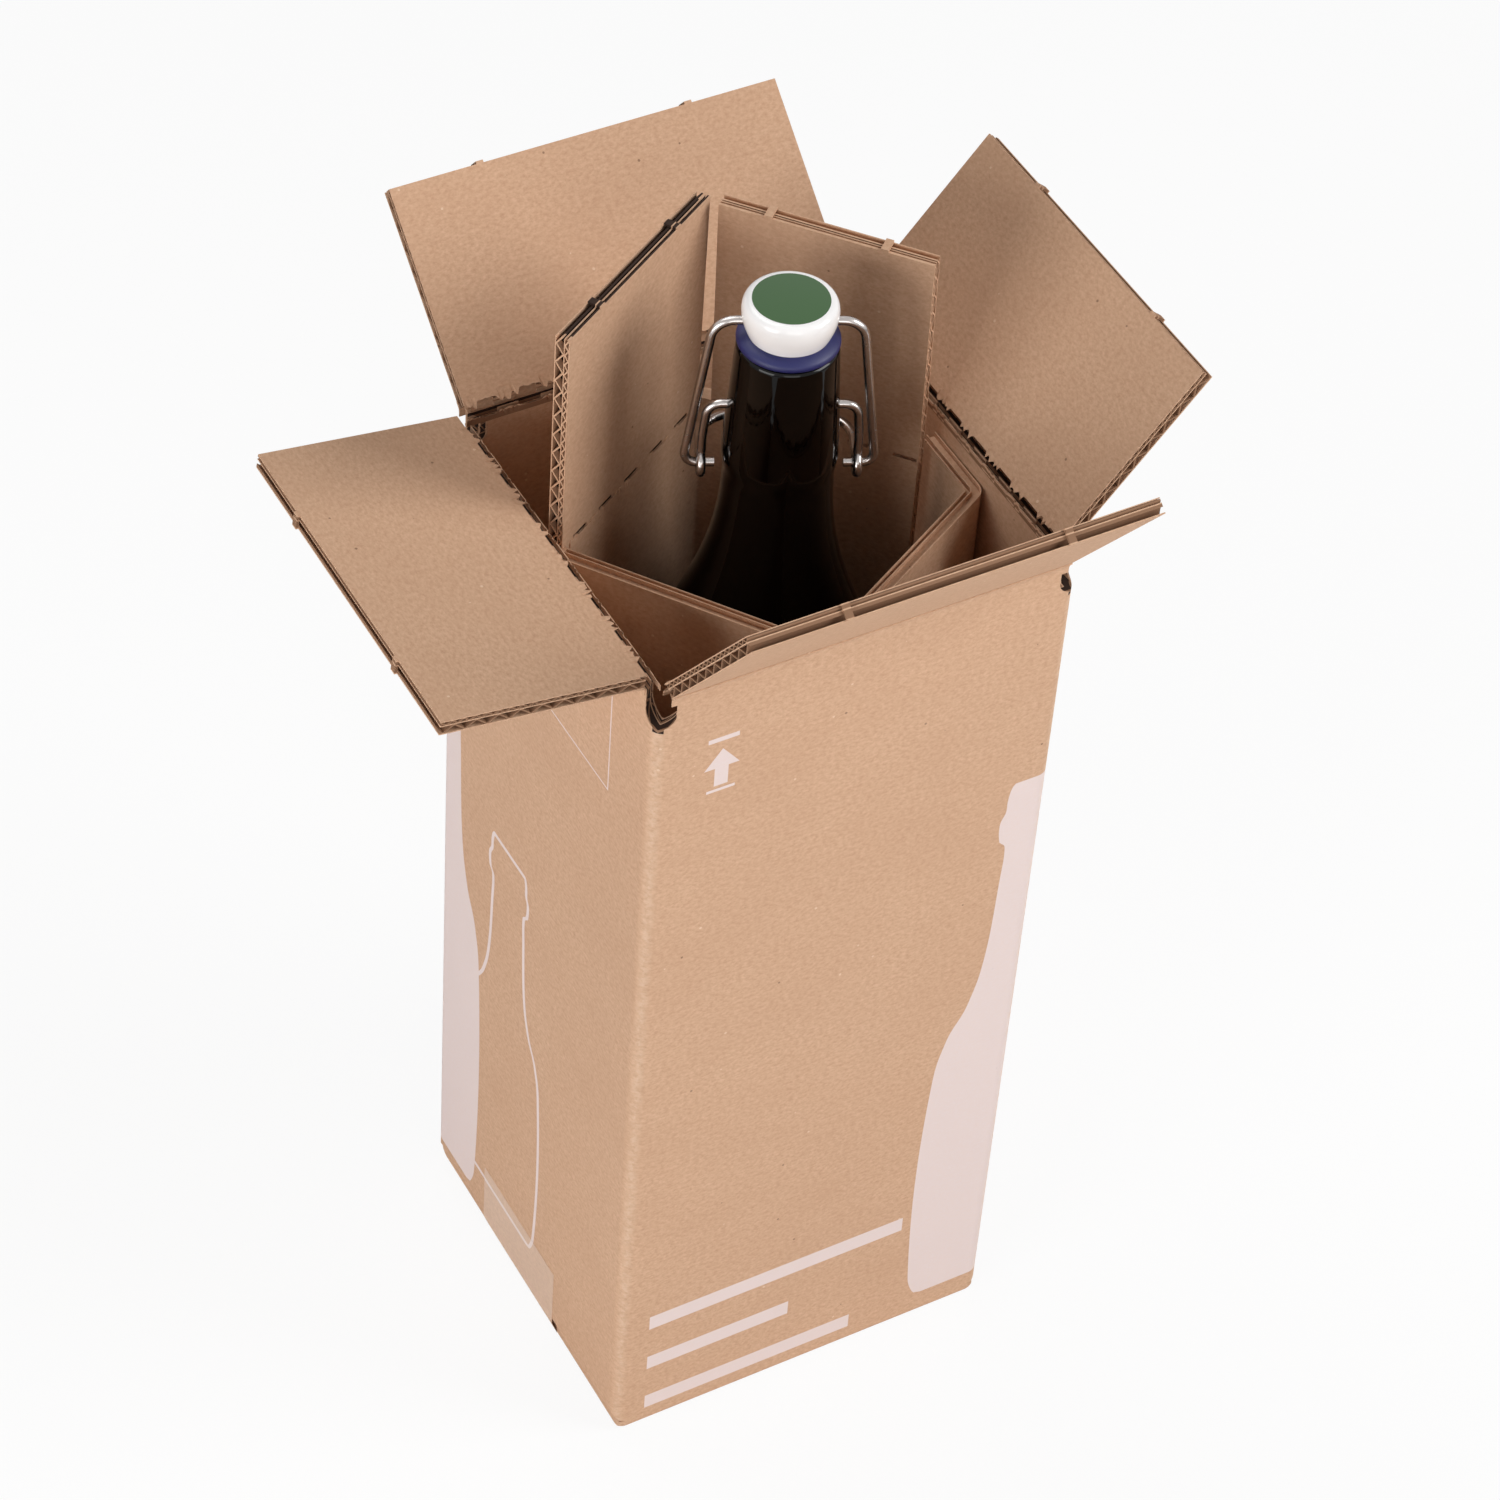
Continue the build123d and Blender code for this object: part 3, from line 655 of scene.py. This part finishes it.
# The lever: an arch from the neck to an eye on each side, and the thumb loop between the eyes.
# An eye's ring starts at its top and makes one full turn.
eye_reach = 21.3
eye_radius = 3.0
ring_step = math.radians(30)
ring_angles = [step * ring_step for step in range(3, 16)]
ring = [(eye_radius * math.cos(a), eye_height + eye_radius * math.sin(a)) for a in ring_angles]
pivot_end, pivot_height = 12.3, 351.0
arch_reach, arch_foot = 20.2, 340.0
arch_bend, thumb_bend = 4.5, 6.0
thumb_reach, thumb_turn, thumb_depth = 14.3, 14.0, 20.0
lever_routes = []
for side in (-1, 1):
    eye = [(side * eye_reach, y, z) for y, z in ring]
    arch = [(side * pivot_end, 0, pivot_height), (side * arch_reach, 0, pivot_height),
            (side * eye_reach, 0, arch_foot)]
    lever_routes.append((arch + eye, arch_bend))
thumb = [
    (-eye_reach, eye_radius, eye_height), (-eye_reach, thumb_turn, eye_height),
    (-thumb_reach, thumb_depth, eye_height), (thumb_reach, thumb_depth, eye_height),
    (eye_reach, thumb_turn, eye_height), (eye_reach, eye_radius, eye_height),
]
lever_routes.append((thumb, thumb_bend))
wire_piece("bent_lever", "lever_wire", "lever", lever_routes)


# Floor, world and lights: a white floor that keeps a faint shadow, a white world, and soft lamps.
# They stand for the studio's paper sweep and its light boxes.
bpy.context.scene.view_settings.view_transform = "Standard"
floor_reach = 4.0
floor_drop = 0.05 * mm
white_share = 0.9
world_glow = 0.06
floor_mesh = bmesh.new()
bmesh.ops.create_grid(floor_mesh, x_segments=1, y_segments=1, size=floor_reach)
floor_data = bpy.data.meshes.new("floor")
floor_mesh.to_mesh(floor_data)
floor_mesh.free()
floor = bpy.data.objects.new("floor", floor_data)
floor.location = (0, 0, -floor_drop)
bpy.context.scene.collection.objects.link(floor)
paper, _ = new_material("white studio paper", Base_Color="#F2F2F2", Roughness=0.9)
shader = paper.node_tree.nodes["Principled BSDF"]
white = add_node(paper, "Emission", Color="#FFFFFF", Strength=1.0)
path = add_node(paper, "LightPath").node
seen = add_node(paper, "Math", path.outputs["Is Camera Ray"], white_share, operation="MULTIPLY")
mixed = add_node(paper, "MixShader", seen, shader.outputs[0], white)
paper.node_tree.links.new(mixed, paper.node_tree.nodes["Material Output"].inputs["Surface"])
dress(floor, paper)

world = bpy.data.worlds.new("studio")
world.use_nodes = True
bpy.context.scene.world = world
path = add_node(world, "LightPath").node
camera_ray, glossy_ray = path.outputs["Is Camera Ray"], path.outputs["Is Glossy Ray"]
shown = add_node(world, "Math", camera_ray, glossy_ray, operation="MAXIMUM")
shown = add_node(world, "Math", shown, path.outputs["Is Transmission Ray"], operation="MAXIMUM")
strength = add_node(world, "MapRange", shown, 0.0, 1.0, world_glow, 1.0)
background = world.node_tree.nodes["Background"]
background.inputs["Color"].default_value = linear("#FFFFFF")
world.node_tree.links.new(strength, background.inputs["Strength"])

middle = Vector((0, 0, 0.22))


def soft_lamp(name, size, power, place):
    """A square area lamp that looks at the middle of the box."""
    lamp = bpy.data.lights.new(name, "AREA")
    lamp.size = size
    lamp.energy = power
    holder = bpy.data.objects.new(name, lamp)
    holder.location = place
    holder.rotation_euler = (middle - Vector(place)).to_track_quat("-Z", "Y").to_euler()
    bpy.context.scene.collection.objects.link(holder)


soft_lamp("key lamp", 0.9, 21.5, (1.2, -0.9, 1.2))
soft_lamp("left lamp", 0.9, 14.2, (-1.5, -0.55, 0.6))
soft_lamp("front lamp", 0.9, 5.5, (-0.5, -1.5, 0.8))
soft_lamp("back lamp", 0.9, 8.5, (-0.2, 0.7, 1.6))


# Camera: it looks down on the front left corner from 1.4 m away, through a long lens.
# It is rolled by a few degrees, as in the photograph.
view_azimuth = math.radians(-31.71)
view_elevation = math.radians(45.23)
view_roll = math.radians(4.54)
view_distance = 1386.5 * mm
view_target = Vector((8.41, 8.25, 203.64)) * mm
back = Vector((
    math.sin(view_azimuth) * math.cos(view_elevation),
    -math.cos(view_azimuth) * math.cos(view_elevation),
    math.sin(view_elevation),
))
right = (-back).cross(Vector((0, 0, 1))).normalized()
upward = right.cross(-back)
side_axis = right * math.cos(view_roll) + upward * math.sin(view_roll)
up_axis = upward * math.cos(view_roll) - right * math.sin(view_roll)
camera_data = bpy.data.cameras.new("camera")
camera_data.sensor_width = 36.0
camera_data.lens = 113.74
camera_data.clip_start = 0.05
camera_data.clip_end = 20.0
camera = bpy.data.objects.new("camera", camera_data)
bpy.context.scene.collection.objects.link(camera)
turn = Matrix((side_axis, up_axis, back)).transposed().to_4x4()
camera.matrix_world = Matrix.Translation(view_target + back * view_distance) @ turn
bpy.context.scene.camera = camera
